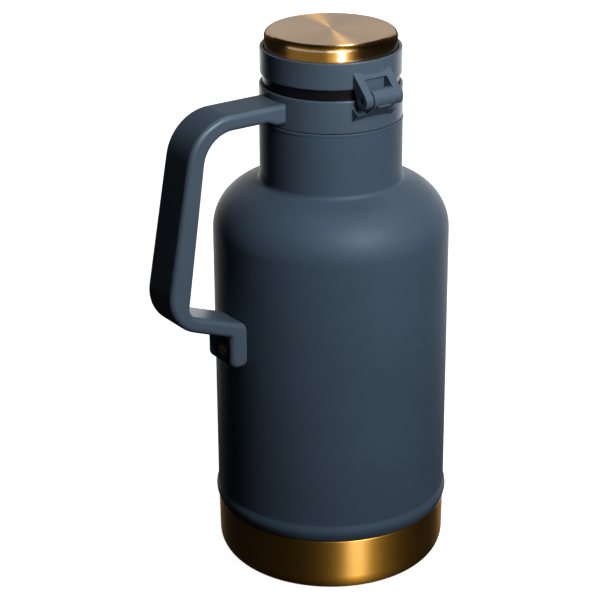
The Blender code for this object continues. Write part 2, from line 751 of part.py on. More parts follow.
def plug_base(home):
    """Disc that closes the plug at its bottom."""
    radius = PLUG_TIP_RADIUS - PLUG_WALL - GAP
    top = PLUG_BOTTOM_Z + PLUG_WALL
    outline = [(0, top), (radius, top), (radius, PLUG_BOTTOM_Z), (0, PLUG_BOTTOM_Z)]
    return turned("plug_base", outline, home)


def main():
    clear_scene()
    home = new_collection("growler")
    cutters = new_collection("cutters")
    cutters.hide_render = True

    coated = material("coated steel", SLATE, 0.42, 0.0)
    slate_plastic = material("slate plastic", SLATE_PLASTIC, 0.5, 0.0)
    black_plastic = material("black plastic", BLACK, 0.5, 0.0)
    gold = material("gold steel", GOLD, 0.3, 1.0)
    steel = material("bare steel", STEEL, 0.32, 1.0)
    silicone = material("silicone", (0.5, 0.5, 0.5, 1), 0.6, 0.0)
    foam = material("foam", (0.75, 0.72, 0.62, 1), 0.9, 0.0)

    finish(outer_shell(home), coated)
    finish(inner_vessel(home, cutters), steel)
    finish(base_cup(home), gold)
    finish(base_plate(home), steel)
    finish(vacuum_seal(home), steel)
    finish(getter(home), steel)
    finish(collar(home, cutters), slate_plastic)
    finish(hinge_pin(home), steel)
    finish(handle(home, cutters), slate_plastic)
    finish(handle_bracket(home, cutters), steel)
    finish(handle_screw(home, cutters), gold)
    finish(saddle_screw("saddle_screw_lower", SADDLE_SCREW_Z[0], home, cutters), steel)
    finish(saddle_screw("saddle_screw_upper", SADDLE_SCREW_Z[1], home, cutters), steel)

    lid_axis = bpy.data.objects.new("lid_hinge_axis", None)
    lid_axis.location = (0, -HINGE_R, HINGE_Z)
    cap_axis = bpy.data.objects.new("cap_twist_axis", None)
    cap_axis.location = (0, 0, MOUTH_Z)
    home.objects.link(lid_axis)
    home.objects.link(cap_axis)
    bpy.context.view_layer.update()
    hang(cap_axis, lid_axis)
    hang(finish(hinge_ring(home, cutters), slate_plastic), lid_axis)
    cap = [
        finish(slip_washer(home), silicone),
        finish(cap_shell(home), gold),
        finish(cap_core(home, cutters), black_plastic),
        finish(cap_body(home, cutters), black_plastic),
        finish(cap_gasket(home), silicone),
        *[finish(cap_screw(number, home, cutters), steel) for number in range(3)],
        finish(plug_insulation(home), foam),
        finish(plug_base(home), black_plastic),
    ]
    for piece in cap:
        hang(piece, cap_axis)


def hang(child, parent):
    """Parents a piece without moving it."""
    bpy.context.view_layer.update()
    child.parent = parent
    child.matrix_parent_inverse = parent.matrix_world.inverted()


main()
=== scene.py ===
"""The growler's looks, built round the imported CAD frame.

Lengths are millimetres until a mesh is made. +Z is up, the handle points to -X and the hinge to -Y.
"""

import json
import math

import bmesh
import bpy
from mathutils import Matrix, Vector

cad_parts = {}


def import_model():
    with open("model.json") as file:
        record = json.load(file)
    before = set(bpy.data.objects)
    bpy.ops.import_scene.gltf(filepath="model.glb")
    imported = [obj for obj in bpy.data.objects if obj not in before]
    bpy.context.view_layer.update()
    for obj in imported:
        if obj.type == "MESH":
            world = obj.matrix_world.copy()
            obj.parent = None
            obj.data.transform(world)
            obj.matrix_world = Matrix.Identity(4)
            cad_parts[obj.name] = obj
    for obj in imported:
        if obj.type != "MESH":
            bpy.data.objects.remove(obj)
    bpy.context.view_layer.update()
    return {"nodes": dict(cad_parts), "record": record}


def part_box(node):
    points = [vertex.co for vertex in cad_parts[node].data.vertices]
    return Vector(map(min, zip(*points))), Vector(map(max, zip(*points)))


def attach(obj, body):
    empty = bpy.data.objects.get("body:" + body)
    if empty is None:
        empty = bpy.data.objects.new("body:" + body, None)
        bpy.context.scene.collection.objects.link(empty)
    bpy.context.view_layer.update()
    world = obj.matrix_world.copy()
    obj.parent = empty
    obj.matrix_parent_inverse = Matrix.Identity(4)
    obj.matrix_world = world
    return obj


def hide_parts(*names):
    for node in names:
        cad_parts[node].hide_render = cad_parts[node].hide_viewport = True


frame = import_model()
MM = 0.001
JOINTS = {joint["name"]: joint for joint in frame["record"]["behaviour"]["joints"]}


def box(node):
    """A node's lowest and highest corner, in millimetres."""
    low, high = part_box(node)
    return low / MM, high / MM


# Driving dimensions, read from the frame
_, SHELL_HIGH = box("outer_shell")
_, CUP_HIGH = box("base_cup")
COLLAR_LOW, _ = box("collar")
_, RING_HIGH = box("hinge_ring")
CAP_LOW, CAP_HIGH = box("cap_shell")
PLUG_LOW, PLUG_HIGH = box("cap_body")
GASKET_LOW, GASKET_HIGH = box("cap_gasket")
LINER_LOW, LINER_HIGH = box("inner_vessel")
BASE_LOW, BASE_HIGH = box("plug_base")
FOOT_LOW, FOOT_HIGH = box("handle")
SCREW_LOW, SCREW_HIGH = box("handle_screw")
_, PIN_HIGH = box("hinge_pin")
HINGE_R = -JOINTS["lid_hinge"]["pos_m"][1] / MM
HINGE_Z = JOINTS["lid_hinge"]["pos_m"][2] / MM

BODY_R = SHELL_HIGH.x - 1.1
BEAD_DEPTH = SHELL_HIGH.x - BODY_R
BEAD_HALF = 4.8
CUP_TOP = CUP_HIGH.z
CUP_R = CUP_HIGH.x
NECK_R = 37.9
NECK_LIP_Z = COLLAR_LOW.z - 1.0
SPIGOT_R = 34.8
MOUTH_R = 31.2
MOUTH_Z = LINER_HIGH.z
SHOULDER_Z = 210.0
NECK_FOOT_Z = 220.3
COLLAR_R = 37.8
COLLAR_TOP = MOUTH_Z + 3.4
COLLAR_SEAT = MOUTH_Z + 0.3
RING_R = RING_HIGH.x
RING_BOTTOM = RING_HIGH.z - 14.3
CAP_R = CAP_HIGH.x
ARM_TOP = FOOT_HIGH.z - 0.1
HANDLE_HALF = 12.2
SCREW_Z = (SCREW_LOW.z + SCREW_HIGH.z) / 2
ARM_FOOT = 258.6
LUG_SPAN = math.radians(36)
LUG_DEPTH = 2.2
LUG_RISE = 1.44
SHARP_ANGLE = math.radians(38)


# Outlines, as lists of (x, y) or (radius, height)


def rounded(corners, closed=False, step=6):
    """Points of a polyline whose corners (x, y, radius) are rounded with arcs."""
    points = []
    count = len(corners)
    for index, corner in enumerate(corners):
        here = Vector(corner[:2])
        radius = corner[2] if len(corner) > 2 else 0
        if radius == 0 or not (closed or 0 < index < count - 1):
            points.append(tuple(here))
            continue
        back = (Vector(corners[index - 1][:2]) - here).normalized()
        ahead = (Vector(corners[(index + 1) % count][:2]) - here).normalized()
        half = back.angle(ahead) / 2
        centre = here + (back + ahead).normalized() * (radius / math.sin(half))
        start = here + back * (radius / math.tan(half)) - centre
        turn = start.angle_signed(here + ahead * (radius / math.tan(half)) - centre)
        steps = max(3, round(abs(turn) / math.radians(step)))
        for number in range(steps + 1):
            points.append(tuple(centre + Matrix.Rotation(-turn * number / steps, 2) @ start))
    return points


def arc(centre, radius, start, end, steps):
    """Points of an arc between two angles in degrees."""
    angles = [math.radians(start + (end - start) * step / steps) for step in range(steps + 1)]
    return [(centre[0] + radius * math.cos(a), centre[1] + radius * math.sin(a)) for a in angles]


# Meshes


def make(name, bm, matrix=Matrix()):
    """Turns millimetres into a mesh object in metres."""
    bmesh.ops.recalc_face_normals(bm, faces=bm.faces)
    bmesh.ops.transform(bm, matrix=Matrix.Scale(MM, 4) @ matrix, verts=bm.verts)
    mesh = bpy.data.meshes.new(name)
    bm.to_mesh(mesh)
    bm.free()
    obj = bpy.data.objects.new(name, mesh)
    bpy.context.scene.collection.objects.link(obj)
    return obj


def turned(name, outline, segments, closed=False, matrix=Matrix()):
    """Solid of revolution about Z. An outline that isn't closed begins and ends on the axis."""
    bm = bmesh.new()
    rings = []
    for radius, height in outline:
        if radius < 1e-6:
            rings.append([bm.verts.new((0, 0, height))] * segments)
            continue
        rings.append([
            bm.verts.new((
                radius * math.cos(math.tau * k / segments),
                radius * math.sin(math.tau * k / segments),
                height,
            ))
            for k in range(segments)
        ])
    pairs = list(zip(rings, rings[1:]))
    if closed:
        pairs.append((rings[-1], rings[0]))
    for upper, lower in pairs:
        for k in range(segments):
            around = (k + 1) % segments
            corners = [upper[k], upper[around], lower[around], lower[k]]
            corners = [c for i, c in enumerate(corners) if c not in corners[:i]]
            if len(corners) > 2:
                bm.faces.new(corners)
    return make(name, bm, matrix)


def facing(outward):
    """Matrix that maps local X to a horizontal direction and local Y to world up."""
    outward = Vector(outward)
    up = Vector((0, 0, 1))
    return Matrix((outward, up, outward.cross(up))).transposed().to_4x4()


TO_HANDLE = facing((-1, 0, 0))
TO_HINGE = facing((0, -1, 0))

# An outline in (y, z), with its thickness along X
ACROSS_HANDLE = Matrix(((0, 0, 1), (1, 0, 0), (0, 1, 0))).to_4x4()


def plate(name, outline, half, matrix, shift=0.0):
    """A flat outline with thickness."""
    bm = bmesh.new()
    face = bm.faces.new([bm.verts.new((x, y, shift - half)) for x, y in outline])
    grown = bmesh.ops.extrude_face_region(bm, geom=[face])
    moved = [item for item in grown["geom"] if isinstance(item, bmesh.types.BMVert)]
    bmesh.ops.translate(bm, vec=(0, 0, 2 * half), verts=moved)
    return make(name, bm, matrix)


def inset(outline, distance):
    """The outline moved inwards, with mitred corners."""
    count = len(outline)
    area = sum(
        outline[i - 1][0] * outline[i][1] - outline[i][0] * outline[i - 1][1] for i in range(count)
    )
    inward = math.copysign(1, area)
    moved = []
    for index, point in enumerate(outline):
        back = (Vector(point) - Vector(outline[index - 1])).normalized()
        ahead = (Vector(outline[(index + 1) % count]) - Vector(point)).normalized()
        first = Vector((-back.y, back.x)) * inward
        second = Vector((-ahead.y, ahead.x)) * inward
        shift = (first + second) / (1 + first.dot(second)) * distance
        moved.append(tuple(Vector(point) + shift))
    return moved


def cushion_plate(name, outline, half, edge, matrix):
    """A flat outline with thickness, whose rims are rounded all round."""
    steps = 6
    bm = bmesh.new()
    levels = [(edge * (1 - math.cos(a)), half - edge + edge * math.sin(a))
              for a in (math.pi / 2 * step / steps for step in range(steps + 1))]
    levels = [(gone, -height) for gone, height in reversed(levels)] + levels
    rings = [[bm.verts.new((x, y, height)) for x, y in inset(outline, gone)]
             for gone, height in levels]
    count = len(outline)
    for lower, upper in zip(rings, rings[1:]):
        for k in range(count):
            bm.faces.new((lower[k], lower[(k + 1) % count], upper[(k + 1) % count], upper[k]))
    bm.faces.new(rings[0])
    bm.faces.new(rings[-1])
    return make(name, bm, matrix)


def rod(name, radius, start, end, segments=64):
    """A cylinder between two points."""
    start, end = Vector(start), Vector(end)
    bm = bmesh.new()
    bmesh.ops.create_cone(
        bm, cap_ends=True, segments=segments, radius1=radius, radius2=radius,
        depth=(end - start).length,
    )
    turn = Vector((0, 0, 1)).rotation_difference(end - start).to_matrix().to_4x4()
    return make(name, bm, Matrix.Translation((start + end) / 2) @ turn)


def block(name, low, high):
    """A box between two corners."""
    low, high = Vector(low), Vector(high)
    bm = bmesh.new()
    bmesh.ops.create_cube(bm, size=1)
    bmesh.ops.scale(bm, vec=high - low, verts=bm.verts)
    return make(name, bm, Matrix.Translation((low + high) / 2))


def hinge_hole(radius):
    """Cutter for a hole along the hinge's axis."""
    half = 20
    return rod("hole", radius, (-half, -HINGE_R, HINGE_Z), (half, -HINGE_R, HINGE_Z), 32)


def thread_lug(name, inner, outer, bottom, azimuth):
    """A short piece of helical thread: its inner side slopes, and narrows towards both ends."""
    bm = bmesh.new()
    steps = 14
    rings = []
    for step in range(steps + 1):
        share = step / steps
        angle = azimuth + LUG_SPAN * (share - 0.5)
        low = bottom + LUG_RISE * (share - 0.5)
        taper = 0.25 + 0.75 * min(1, 4 * share, 4 * (1 - share))
        tip = inner + (outer - inner) * (1 - taper)
        high = low + LUG_DEPTH
        section = [(tip, low + 0.4), (outer, low), (outer, high), (tip, high - 0.4)]
        rings.append([
            bm.verts.new((r * math.cos(angle), r * math.sin(angle), z)) for r, z in section
        ])
    for near, far in zip(rings, rings[1:]):
        for k in range(4):
            bm.faces.new((near[k], near[(k + 1) % 4], far[(k + 1) % 4], far[k]))
    bm.faces.new(rings[0])
    bm.faces.new(rings[-1])
    return make(name, bm)


def thirds(maker):
    """Three pieces, each made at its own turn round the axis."""
    return [maker(math.tau * k / 3) for k in range(3)]


def combine(obj, tools, operation):
    """Applies Booleans one after another and removes the tools."""
    for tool in tools:
        step = obj.modifiers.new("step", "BOOLEAN")
        step.operation = operation
        step.solver = "EXACT"
        step.object = tool
    apply_modifiers(obj)
    for tool in tools:
        bpy.data.objects.remove(tool)


def apply_modifiers(obj):
    """Makes the modifiers' result the mesh, and merges points that coincide."""
    bpy.context.view_layer.update()
    graph = bpy.context.evaluated_depsgraph_get()
    mesh = bpy.data.meshes.new_from_object(obj.evaluated_get(graph))
    obj.modifiers.clear()
    obj.data = mesh
    bm = bmesh.new()
    bm.from_mesh(mesh)
    bmesh.ops.remove_doubles(bm, verts=bm.verts, dist=4e-6)
    bmesh.ops.dissolve_degenerate(bm, edges=bm.edges, dist=2e-6)
    bm.to_mesh(mesh)
    bm.free()


def join(obj, *tools):
    combine(obj, tools, "UNION")


def cut(obj, *tools):
    combine(obj, tools, "DIFFERENCE")


def soften(obj, width, angle=32):
    """Rounds the edges that are sharper than an angle in degrees."""
    bevel = obj.modifiers.new("Rounded edges", "BEVEL")
    bevel.width = width * MM
    bevel.segments = 2
    bevel.limit_method = "ANGLE"
    bevel.angle_limit = math.radians(angle)
    bevel.use_clamp_overlap = False
    bevel.harden_normals = False
    apply_modifiers(obj)


def show(obj, look, body, slot, *nodes):
    """Gives a piece its look and ties it to the frame."""
    obj.data.materials.clear()
    obj.data.materials.append(look)
    obj.data.shade_smooth()
    obj.data.set_sharp_from_angle(angle=SHARP_ANGLE)
    even = obj.modifiers.new("Even shading", "WEIGHTED_NORMAL")
    even.keep_sharp = True
    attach(obj, body)
    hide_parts(*nodes)


def keep(node, look):
    """A CAD node that stays as it is, with a finished material."""
    for slot in frame["nodes"][node].material_slots:
        slot.material = look


# Materials


class Nodes:
    """A material under construction: its node tree and its Principled shader."""

    def __init__(self, name, **constants):
        self.material = bpy.data.materials.new(name)
        self.material.use_nodes = True
        self.tree = self.material.node_tree
        self.shader = self.tree.nodes["Principled BSDF"]
        for key, value in constants.items():
            self.shader.inputs[key.replace("_", " ")].default_value = value
        self.place = self.add("ShaderNodeTexCoord").outputs["Object"]

    def add(self, kind, *inputs, **settings):
        """A node with its settings, and its first inputs in order."""
        node = self.tree.nodes.new(kind)
        for key, value in settings.items():
            setattr(node, key, value)
        for socket, value in zip(node.inputs, inputs):
            self.put(socket, value)
        return node

    def put(self, socket, value):
        """Links a socket's value in, or sets a constant."""
        if isinstance(value, bpy.types.NodeSocket):
            self.tree.links.new(value, socket)
        else:
            socket.default_value = value

    def math(self, operation, a, b):
        return self.add("ShaderNodeMath", a, b, operation=operation).outputs[0]

    def noise(self, vector, scale, detail=2.0, roughness=0.5):
        node = self.add("ShaderNodeTexNoise")
        self.put(node.inputs["Vector"], vector)
        self.put(node.inputs["Scale"], scale)
        self.put(node.inputs["Detail"], detail)
        self.put(node.inputs["Roughness"], roughness)
        return node.outputs["Fac"]

    def spread(self, value, low, high, start=0.3, end=0.7):
        """Maps a noise value onto a range."""
        node = self.add("ShaderNodeMapRange")
        self.put(node.inputs["Value"], value)
        self.put(node.inputs["From Min"], start)
        self.put(node.inputs["From Max"], end)
        self.put(node.inputs["To Min"], low)
        self.put(node.inputs["To Max"], high)
        return node.outputs["Result"]

    def blend(self, factor, dark, light):
        """A mix of two colours."""
        node = self.add("ShaderNodeMix", data_type="RGBA")
        self.put(node.inputs["Factor"], factor)
        color_a, color_b, color_out = 6, 7, 2
        self.put(node.inputs[color_a], dark)
        self.put(node.inputs[color_b], light)
        return node.outputs[color_out]

    def bump(self, height, distance, strength):
        node = self.add("ShaderNodeBump")
        node.inputs["Strength"].default_value = strength
        node.inputs["Distance"].default_value = distance * MM
        self.put(node.inputs["Height"], height)
        return node.outputs["Normal"]

    def brushing(self, run, pitch):
        """Coordinates drawn out round the axis: run per radian, and one step per pitch across."""
        flat = self.add("ShaderNodeVectorMath", self.place, (1, 1, 0), operation="MULTIPLY")
        distance = self.add("ShaderNodeVectorMath", flat.outputs[0], operation="LENGTH")
        compass = self.add("ShaderNodeVectorMath", flat.outputs[0], operation="NORMALIZE")
        height = self.add("ShaderNodeSeparateXYZ", self.place).outputs["Z"]
        across = self.math("ADD", distance.outputs["Value"], height)
        across = self.math("DIVIDE", across, pitch * MM)
        stretched = self.add(
            "ShaderNodeVectorMath", compass.outputs[0], (run,) * 3, operation="MULTIPLY",
        )
        parts = self.add("ShaderNodeSeparateXYZ", stretched.outputs[0])
        return self.add("ShaderNodeCombineXYZ", parts.outputs[0], parts.outputs[1], across).outputs[0]

    def done(self, color, roughness, normal):
        self.put(self.shader.inputs["Base Color"], color)
        self.put(self.shader.inputs["Roughness"], roughness)
        self.put(self.shader.inputs["Normal"], normal)
        return self.material


def shade(color, factor):
    """A colour made darker or lighter."""
    return (*[channel * factor for channel in color[:3]], 1.0)


def record_color(slot):
    """The record's base colour of a material slot."""
    for entry in frame["record"]["materials"]:
        if entry["slot"] == slot:
            return entry["base_color"]
    raise ValueError(slot)


def coated_steel():
    """Satin powder coat: fine orange peel, tiny specks and a slow drift in tone."""
    color = record_color("coated_steel")
    nodes = Nodes("coated_steel", Specular_IOR_Level=0.35, Specular_Tint=(0.75, 0.9, 1.0, 1.0))
    peel = nodes.noise(nodes.place, 1100, 3.0, 0.6)
    drift = nodes.noise(nodes.place, 22, 2.0)
    tone = nodes.blend(nodes.spread(drift, 0, 1), shade(color, 0.93), shade(color, 1.07))
    specks = nodes.noise(nodes.place, 2600, 1.0)
    tone = nodes.blend(nodes.spread(specks, 0, 0.35, 0.35, 0.75), tone, shade(color, 1.35))
    rough = nodes.spread(peel, 0.50, 0.58)
    return nodes.done(tone, rough, nodes.bump(peel, 0.035, 0.55))


def slate_plastic(name, grain, depth):
    """Moulded plastic with a fine spark-eroded grain."""
    color = record_color("slate_plastic")
    nodes = Nodes(name, Specular_Tint=(0.8, 0.92, 1.0, 1.0))
    texture = nodes.noise(nodes.place, grain, 2.5, 0.65)
    drift = nodes.noise(nodes.place, 35, 2.0)
    tone = nodes.blend(nodes.spread(drift, 0, 1), shade(color, 0.94), shade(color, 1.06))
    tone = nodes.blend(nodes.spread(texture, 0, 0.3), tone, shade(color, 1.3))
    rough = nodes.spread(texture, 0.32, 0.45)
    return nodes.done(tone, rough, nodes.bump(texture, depth, 0.6))


def black_plastic():
    """Satin black moulding with a faint grain."""
    nodes = Nodes("black_plastic", Specular_IOR_Level=0.25)
    color = record_color("black_plastic")
    grain = nodes.noise(nodes.place, 1500, 2.0)
    tone = nodes.blend(nodes.spread(grain, 0, 1), shade(color, 0.8), shade(color, 1.5))
    return nodes.done(tone, nodes.spread(grain, 0.3, 0.42), nodes.bump(grain, 0.02, 0.5))


def brushed(name, color, pitch, coat, roughness=(0.22, 0.36), anisotropy=0.8, coat_ior=1.6,
            coat_roughness=0.09, crown=None):
    """Metal brushed round the axis: fine lines, streaks of roughness and a clear coat.

    Between the two heights of crown, the roughness falls to half.
    """
    nodes = Nodes(
        name, Metallic=1.0, Anisotropic=anisotropy, Anisotropic_Rotation=0.25,
        Coat_Weight=coat, Coat_Roughness=coat_roughness, Coat_IOR=coat_ior,
    )
    tangent = nodes.add("ShaderNodeTangent", direction_type="RADIAL", axis="Z")
    nodes.put(nodes.shader.inputs["Tangent"], tangent.outputs[0])
    fine = nodes.noise(nodes.brushing(7, pitch), 1.0, 3.0, 0.6)
    broad = nodes.noise(nodes.brushing(2.5, pitch * 6), 1.0, 2.0)
    lines = nodes.math("ADD", nodes.math("MULTIPLY", fine, 0.8), nodes.math("MULTIPLY", broad, 0.2))
    tone = nodes.blend(nodes.spread(lines, 0, 1, 0.32, 0.68), shade(color, 0.92), shade(color, 1.05))
    rough = nodes.spread(lines, roughness[0], roughness[1])
    if crown:
        height = nodes.add("ShaderNodeSeparateXYZ", nodes.place).outputs["Z"]
        polish = nodes.spread(height, 1, 0.5, crown[0] * MM, crown[1] * MM)
        rough = nodes.math("MULTIPLY", rough, polish)
    return nodes.done(tone, rough, nodes.bump(lines, 0.002, 0.3))


def plain_steel(name, color):
    """Satin steel with no direction to its finish."""
    nodes = Nodes(name, Metallic=1.0)
    grain = nodes.noise(nodes.place, 900, 3.0, 0.6)
    tone = nodes.blend(nodes.spread(grain, 0, 1), shade(color, 0.85), shade(color, 1.1))
    return nodes.done(tone, nodes.spread(grain, 0.26, 0.4), nodes.bump(grain, 0.01, 0.5))


def soft_look(slot, low, high, scale):
    """A matt rubber or foam."""
    nodes = Nodes(slot)
    color = record_color(slot)
    grain = nodes.noise(nodes.place, scale, 3.0, 0.6)
    tone = nodes.blend(nodes.spread(grain, 0, 1), shade(color, 0.88), shade(color, 1.08))
    return nodes.done(tone, nodes.spread(grain, low, high), nodes.bump(grain, 0.03, 0.6))


COATED = coated_steel()
SMOOTH_SLATE = slate_plastic("slate_smooth", 1800, 0.012)
GRAINED_SLATE = slate_plastic("slate_grained", 1300, 0.05)
BLACK = black_plastic()
GOLD_COLOR = (0.86, 0.43, 0.045)
GOLD_PITCH = 0.16
GOLD_CAP = brushed(
    "gold_cap", GOLD_COLOR, GOLD_PITCH, coat=1.0, roughness=(0.39, 0.42), anisotropy=0.92,
    coat_ior=2.8, coat_roughness=0.13, crown=(CAP_HIGH.z - 3, CAP_HIGH.z),
)
GOLD_CUP = brushed(
    "gold_cup", GOLD_COLOR, GOLD_PITCH, coat=1.0, roughness=(0.38, 0.46), anisotropy=0.78,
    coat_roughness=0.25,
)
GOLD_SCREW = plain_steel("gold_screw", (0.80, 0.60, 0.38))
STEEL = plain_steel("bare_steel", record_color("bare_steel"))
BRUSHED_STEEL = brushed("liner_steel", record_color("bare_steel"), pitch=0.35, coat=0.0)
SILICONE = soft_look("silicone", 0.5, 0.65, 1200)
FOAM = soft_look("foam", 0.8, 0.95, 700)


# Bottle


def bead():
    """Raised bead round the foot of the body, faired into the wall."""
    middle = CUP_TOP + 0.6 + BEAD_HALF - 0.2
    points = []
    half_steps = 12
    for step in range(2 * half_steps + 1):
        share = 1 - step / half_steps
        swell = math.cos(share * math.pi / 2) ** 1.3 if abs(share) < 1 else 0
        points.append((BODY_R + BEAD_DEPTH * swell, middle + BEAD_HALF * share))
    return points


def outer_shell():
    """Steel body with the spigot for the collar above and the skirt inside the cup below."""
    wall = 1.0
    step_z = CUP_TOP + 0.6
    outside = rounded([
        (SPIGOT_R, MOUTH_Z - 1.3),
        (SPIGOT_R, NECK_LIP_Z + 0.6),
        (38.2, NECK_LIP_Z + 0.6, 0.5),
        (38.2, NECK_LIP_Z - 0.7, 0.2),
        (NECK_R, NECK_LIP_Z - 1.1),
        (NECK_R, NECK_FOOT_Z, 3.0),
        (BODY_R, SHOULDER_Z, 26.2),
        (BODY_R, 47.0),
    ], step=3)
    skirt = rounded([(BODY_R, step_z + 0.5), (BODY_R, step_z, 0.3), (61.8, step_z), (61.8, 14)])
    inside = rounded([
        (60.8, 14),
        (60.8, step_z + wall),
        (BODY_R - wall, step_z + 3 * wall),
        (BODY_R - wall, SHOULDER_Z - 0.7, 25.2),
        (NECK_R - wall, NECK_FOOT_Z - 0.7, 3.0),
        (NECK_R - wall, NECK_LIP_Z - 1.2),
        (SPIGOT_R - wall, NECK_LIP_Z - 0.6),
        (SPIGOT_R - wall, MOUTH_Z - 1.3),
    ])
    obj = turned("shell", outside + bead()[:-2] + skirt + inside, 256, closed=True)
    show(obj, COATED, "bottle", "coated_steel", "outer_shell")


def inner_vessel():
    """Liner with the mouth, and three lugs that the cap's lugs pass under."""
    wall = 0.8
    inner_z, neck_z = SHOULDER_Z - 3.8, NECK_FOOT_Z - 3.6
    liner = 57.2
    floor = LINER_LOW.z + wall
    inside = rounded([
        (0, floor),
        (liner, floor, 12),
        (liner, inner_z - 0.5, 21),
        (MOUTH_R, neck_z - 0.5, 5),
        (MOUTH_R, MOUTH_Z, 0.8),
        (SPIGOT_R, MOUTH_Z, 0.4),
        (SPIGOT_R, MOUTH_Z - 1.0),
    ])
    outside = rounded([
        (MOUTH_R + wall, MOUTH_Z - 1.0),
        (MOUTH_R + wall, neck_z, 4.2),
        (liner + wall, inner_z, 21.8),
        (liner + wall, floor - wall, 12.8),
        (0, floor - wall),
    ])
    obj = turned("liner", inside + outside, 160)
    lugs = thirds(lambda turn: thread_lug("lug", 28.6, 31.6, 264.6, turn - math.pi / 2))
    join(obj, *lugs)
    show(obj, BRUSHED_STEEL, "bottle", "bare_steel", "inner_vessel")


def base_cup():
    """Drawn cup with a shallow recess pressed into its underside."""
    foot, corner, wall = 62.9, 11.0, 1.0
    outline = rounded([
        (0, wall + 0.8),
        (43, wall + 0.8, 1.0),
        (44.2, wall, 1.0),
        (foot - 0.9, wall, corner - wall),
        (CUP_R - wall, CUP_TOP),
        (CUP_R, CUP_TOP, 0.45),
        (foot, 0, corner),
        (45, 0, 1.0),
        (43.8, 0.8, 1.0),
        (0, 0.8),
    ], step=4)
    show(turned("cup", outline, 256), GOLD_CUP, "bottle", "gold_steel", "base_cup")


def collar():
    """Neck band with the hinge lug, its knuckle and the pockets for the ears."""
    obj = turned("collar_band", rounded([
        (0, COLLAR_TOP),
        (COLLAR_R, COLLAR_TOP, 0.7),
        (COLLAR_R + 0.1, COLLAR_LOW.z, 0.35),
        (0, COLLAR_LOW.z),
    ], step=12), 180)
    deep, out, tilt = 33.0, 8.7, math.tan(math.radians(41))
    foot_z, top_z = 263.4, 272.4
    lip = COLLAR_R + out
    lug_half, middle, pocket = 12.3, 6.8, 8.3
    wedge = plate("wedge", rounded([
        (deep, foot_z - (COLLAR_R - deep) * tilt),
        (lip, foot_z + out * tilt, 0.5),
        (lip - 0.6, 272.2, 0.5),
        (HINGE_R - 2, top_z),
        (deep, top_z),
    ], step=20), lug_half, TO_HINGE)
    side = (lug_half + 2 - middle) / 2
    circle = arc((HINGE_R, HINGE_Z), pocket, 0, 355, 71)
    pockets = [plate("pocket", circle, side, TO_HINGE, sign * (middle + side)) for sign in (-1, 1)]
    cut(wedge, *pockets)
    centre = (-HINGE_R, HINGE_Z + 0.2)
    knuckle = rod("knuckle", 4.9, (-middle, *centre), (middle, *centre), 96)
    ledge_half = 3.9
    ledge = block(
        "ledge", (-ledge_half, -lip - 0.6, foot_z + 6.9), (ledge_half, -lip + 2, foot_z + 8.0),
    )
    bore = turned("bore", [
        (0, 276),
        (36.2, 276),
        (36.2, COLLAR_SEAT),
        (SPIGOT_R + 0.3, COLLAR_SEAT),
        (SPIGOT_R + 0.3, 254),
        (0, 254),
    ], 180)
    join(obj, wedge, knuckle, ledge)
    cut(obj, bore, hinge_hole(1.4))
    soften(obj, 0.3)
    show(obj, GRAINED_SLATE, "bottle", "slate_plastic", "collar")


def hinge_pin():
    """Pin along the hinge's axis, with rounded ends."""
    length, radius = PIN_HIGH.x - 0.9, PIN_HIGH.z - HINGE_Z
    turn = Matrix.Translation((0, -HINGE_R, HINGE_Z)) @ Matrix.Rotation(math.pi / 2, 4, "Y")
    outline = rounded([(0, length), (radius, length, 0.3), (radius, -length, 0.3), (0, -length)])
    pin = turned("pin", outline, 48, matrix=turn)
    show(pin, STEEL, "bottle", "bare_steel", "hinge_pin")


def handle():
    """One moulding: top arm, sloping grip, lower arm and a foot with a screw boss."""
    foot, bottom = 72.4, FOOT_LOW.z
    obj = cushion_plate("grip", rounded([
        (34, ARM_TOP),
        (91.3, ARM_TOP, 26),
        (111.1, 162.8, 21.5),
        (foot, 148.0, 1.2),
        (foot, bottom, 4.2),
        (61.6, bottom, 4.2),
        (61.6, 153.1, 5),
        (97.2, 166.3, 6),
        (83.3, 260.9, 17.5),
        (47.0, 260.9, 5),
        (42.0, ARM_FOOT, 4),
        (34, ARM_FOOT),
    ], closed=True, step=4), HANDLE_HALF, 2.8, TO_HANDLE)
    seat_r, side, far = COLLAR_R + 0.25, HANDLE_HALF + 0.02, -130
    half_angle = math.degrees(math.asin(side / seat_r))
    hug = arc((0, 0), seat_r, 180 + half_angle, 180 - half_angle, 24)
    plan = rounded([
        (far, -side), (*hug[0], 1.3), *hug[1:-1], (*hug[-1], 1.3), (far, side),
    ], closed=True, step=10)
    body = rod("body_room", BODY_R + 0.3, (0, 0, 110), (0, 0, 170), 180)
    recess = plate("recess", rounded([
        (-8.4, 131.2, 2.2), (8.4, 131.2, 2.2), (8.4, 146.2, 2.2), (-8.4, 146.2, 2.2),
    ], closed=True, step=10), 6, Matrix.Translation((-74.6, 0, 0)) @ ACROSS_HANDLE)
    boss = rod("boss", 5.2, (-60, 0, SCREW_Z), (-71.0, 0, SCREW_Z))
    cut(recess, boss)
    seat = rod("seat", 3.6, (-69.4, 0, SCREW_Z), (-80, 0, SCREW_Z))
    hole = rod("hole", 2.1, (-60, 0, SCREW_Z), (-75, 0, SCREW_Z), 32)
    room = block("room", (-66.9, -6.3, 130.7), (-60, 6.3, 142.9))
    cut(obj, body, recess, seat, hole, room)
    soften(obj, 0.25, angle=50)
    combine(obj, [plate("plan", plan, 100, Matrix.Translation((0, 0, 210)))], "INTERSECT")
    show(obj, SMOOTH_SLATE, "bottle", "slate_plastic", "handle")


